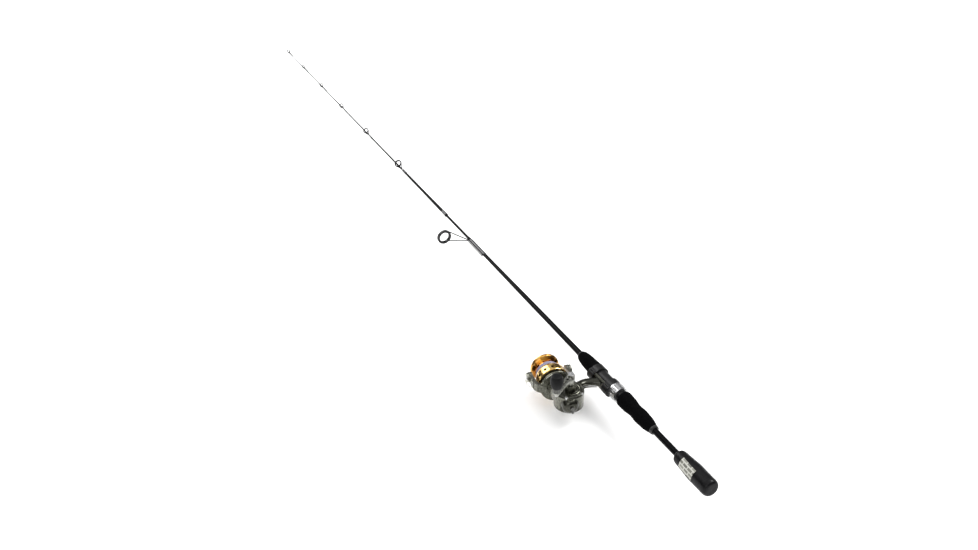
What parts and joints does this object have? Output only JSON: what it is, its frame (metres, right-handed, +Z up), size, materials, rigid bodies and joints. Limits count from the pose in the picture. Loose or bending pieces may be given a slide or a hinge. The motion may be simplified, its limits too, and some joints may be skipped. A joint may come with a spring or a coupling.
{
  "type": "fishing rod with spinning reel",
  "caption": "Two-piece light spinning rod with split grips, wire guides and a fixed-spool reel with crank, bail and drag knob.",
  "frame": {"origin": "centre of the flat on the butt end, on the rod axis", "axes": "+X along the rod to the tip, +Y from the rod towards the reel, +Z up on the crank side"},
  "size_m": [1.6745, 0.1275, 0.1064],
  "materials": {
    "graphite_black": "gloss",
    "eva_foam_black": "matt",
    "grip_black": "satin",
    "seat_plastic_dark": "satin",
    "satin_silver": "satin",
    "trim_grey": "satin",
    "thread_black": "gloss",
    "guide_black_steel": "satin",
    "guide_ring_dark": "polished",
    "label_paper": "matt",
    "reel_body_grey": "metallic paint",
    "reel_trim_silver": "polished",
    "spool_gold": "anodised",
    "line_violet": "gloss",
    "chrome": "polished",
    "steel": "machined",
    "zinc_gear": "as cast",
    "brass": "machined",
    "acetal": "satin",
    "carbon_washer": "matt",
    "drag_knob_dark": "satin",
    "crank_silver": "satin",
    "knob_rubber": "matt",
    "collar_dark": "satin"
  },
  "bodies": {
    "butt_section": {"butt_blank": "graphite_black", "butt_grip": "grip_black", "butt_grip_collar": "trim_grey", "rear_winding_check": "trim_grey", "rear_grip": "eva_foam_black", "fore_grip": "eva_foam_black", "fore_winding_check": "trim_grey", "seat_body": "seat_plastic_dark", "fixed_hood": "seat_plastic_dark", "label": "label_paper", "stripper_guide_frame": "guide_black_steel", "stripper_guide_ring": "guide_ring_dark", "stripper_winding": "thread_black", "reel_housing": "reel_body_grey", "side_cover": "reel_body_grey", "cover_screws": "steel", "socket_cap": "reel_trim_silver", "slide_guide_rail": "steel", "drive_bearings": "steel", "pinion_bearing": "steel", "one_way_clutch": "steel"},
    "hood": {"moving_hood": "seat_plastic_dark"},
    "nut": {"lock_nut": "satin_silver"},
    "tip_section": {"tip_blank": "graphite_black", "ferrule_winding": "thread_black", "running_guide_frames": "guide_black_steel", "running_guide_rings": "guide_ring_dark", "running_guide_windings": "thread_black", "tip_top_frame": "guide_black_steel", "tip_top_ring": "guide_ring_dark", "tip_top_winding": "thread_black"},
    "handle": {"drive_gear": "zinc_gear", "crank_hub": "crank_silver", "crank_arm": "crank_silver", "crank_screw": "steel", "knob_pin": "steel"},
    "knob": {"knob_collar": "collar_dark", "handle_knob": "knob_rubber", "knob_cap": "knob_rubber"},
    "rotor_body": {"rotor": "reel_body_grey", "pinion": "brass", "rotor_nut": "steel", "rotor_arm_covers": "reel_trim_silver", "bail_pivot_screws": "steel"},
    "bail": {"bail_arm": "reel_trim_silver", "bail_lever": "reel_trim_silver", "bail_wire": "chrome", "roller_pin": "steel"},
    "roller": {"line_roller": "chrome"},
    "shaft": {"main_shaft": "steel", "oscillation_slider": "acetal"},
    "spool_body": {"spool": "spool_gold", "wound_line": "line_violet", "drag_washers": "carbon_washer", "spool_clicker": "acetal"},
    "drag": {"drag_knob": "drag_knob_dark"},
    "wheel": {"oscillation_wheel": "acetal"},
    "anti_reverse": {"anti_reverse_lever": "acetal"}
  },
  "joints": [
    {"name": "handle_turn", "type": "hinge", "parent": "butt_section", "child": "handle", "pos_m": [0.26075, 0.06709, 0.036], "axis": [0, 0, 1], "continuous": true},
    {"name": "rotor_spin", "type": "hinge", "parent": "butt_section", "child": "rotor_body", "pos_m": [0.29171, 0.07182, 0], "axis": [0.9903, -0.1392, 0], "continuous": true},
    {"name": "oscillation_wheel_turn", "type": "hinge", "parent": "butt_section", "child": "wheel", "pos_m": [0.25909, 0.07681, -0.01], "axis": [0, 0, 1], "continuous": true},
    {"name": "spool_travel", "type": "slide", "parent": "butt_section", "child": "shaft", "axis": [0.9903, -0.1392, 0], "range_m": [-0.0045, 0.0045]},
    {"name": "spool_slip", "type": "hinge", "parent": "shaft", "child": "spool_body", "pos_m": [0.32142, 0.06765, 0], "axis": [0.9903, -0.1392, 0], "continuous": true},
    {"name": "drag_adjust", "type": "hinge", "parent": "shaft", "child": "drag", "pos_m": [0.34914, 0.06375, 0], "axis": [0.9903, -0.1392, 0], "range_deg": [-360, 360]},
    {"name": "bail_flip", "type": "hinge", "parent": "rotor_body", "child": "bail", "pos_m": [0.32538, 0.06709, 0], "axis": [0.1392, 0.9903, 0], "range_deg": [0, 75]},
    {"name": "line_roller_spin", "type": "hinge", "parent": "bail", "child": "roller", "pos_m": [0.32811, 0.03591, -0.01324], "axis": [0.1392, 0.9903, 0], "continuous": true},
    {"name": "knob_spin", "type": "hinge", "parent": "handle", "child": "knob", "pos_m": [0.23469, 0.105, 0.044], "axis": [0, 0, 1], "continuous": true},
    {"name": "anti_reverse_switch", "type": "hinge", "parent": "butt_section", "child": "anti_reverse", "pos_m": [0.24192, 0.0768, 0], "axis": [0.9903, -0.1392, 0], "range_deg": [0, 40]},
    {"name": "hood_slide", "type": "slide", "parent": "butt_section", "child": "hood", "axis": [1, 0, 0], "range_m": [-0.006, 0]},
    {"name": "lock_nut_turn", "type": "hinge", "parent": "hood", "child": "nut", "pos_m": [0.238, 0, 0], "axis": [1, 0, 0], "range_deg": [-1441, 1]},
    {"name": "tip_pull_off", "type": "slide", "parent": "butt_section", "child": "tip_section", "axis": [1, 0, 0], "range_m": [0, 0.062]}
  ],
  "couplings": [
    {"joint": "rotor_spin", "follows": "handle_turn", "ratio": -5.2222},
    {"joint": "oscillation_wheel_turn", "follows": "handle_turn", "ratio": -0.68421},
    {"joint": "lock_nut_turn", "follows": "hood_slide", "rad_per_m": 4188.8}
  ]
}
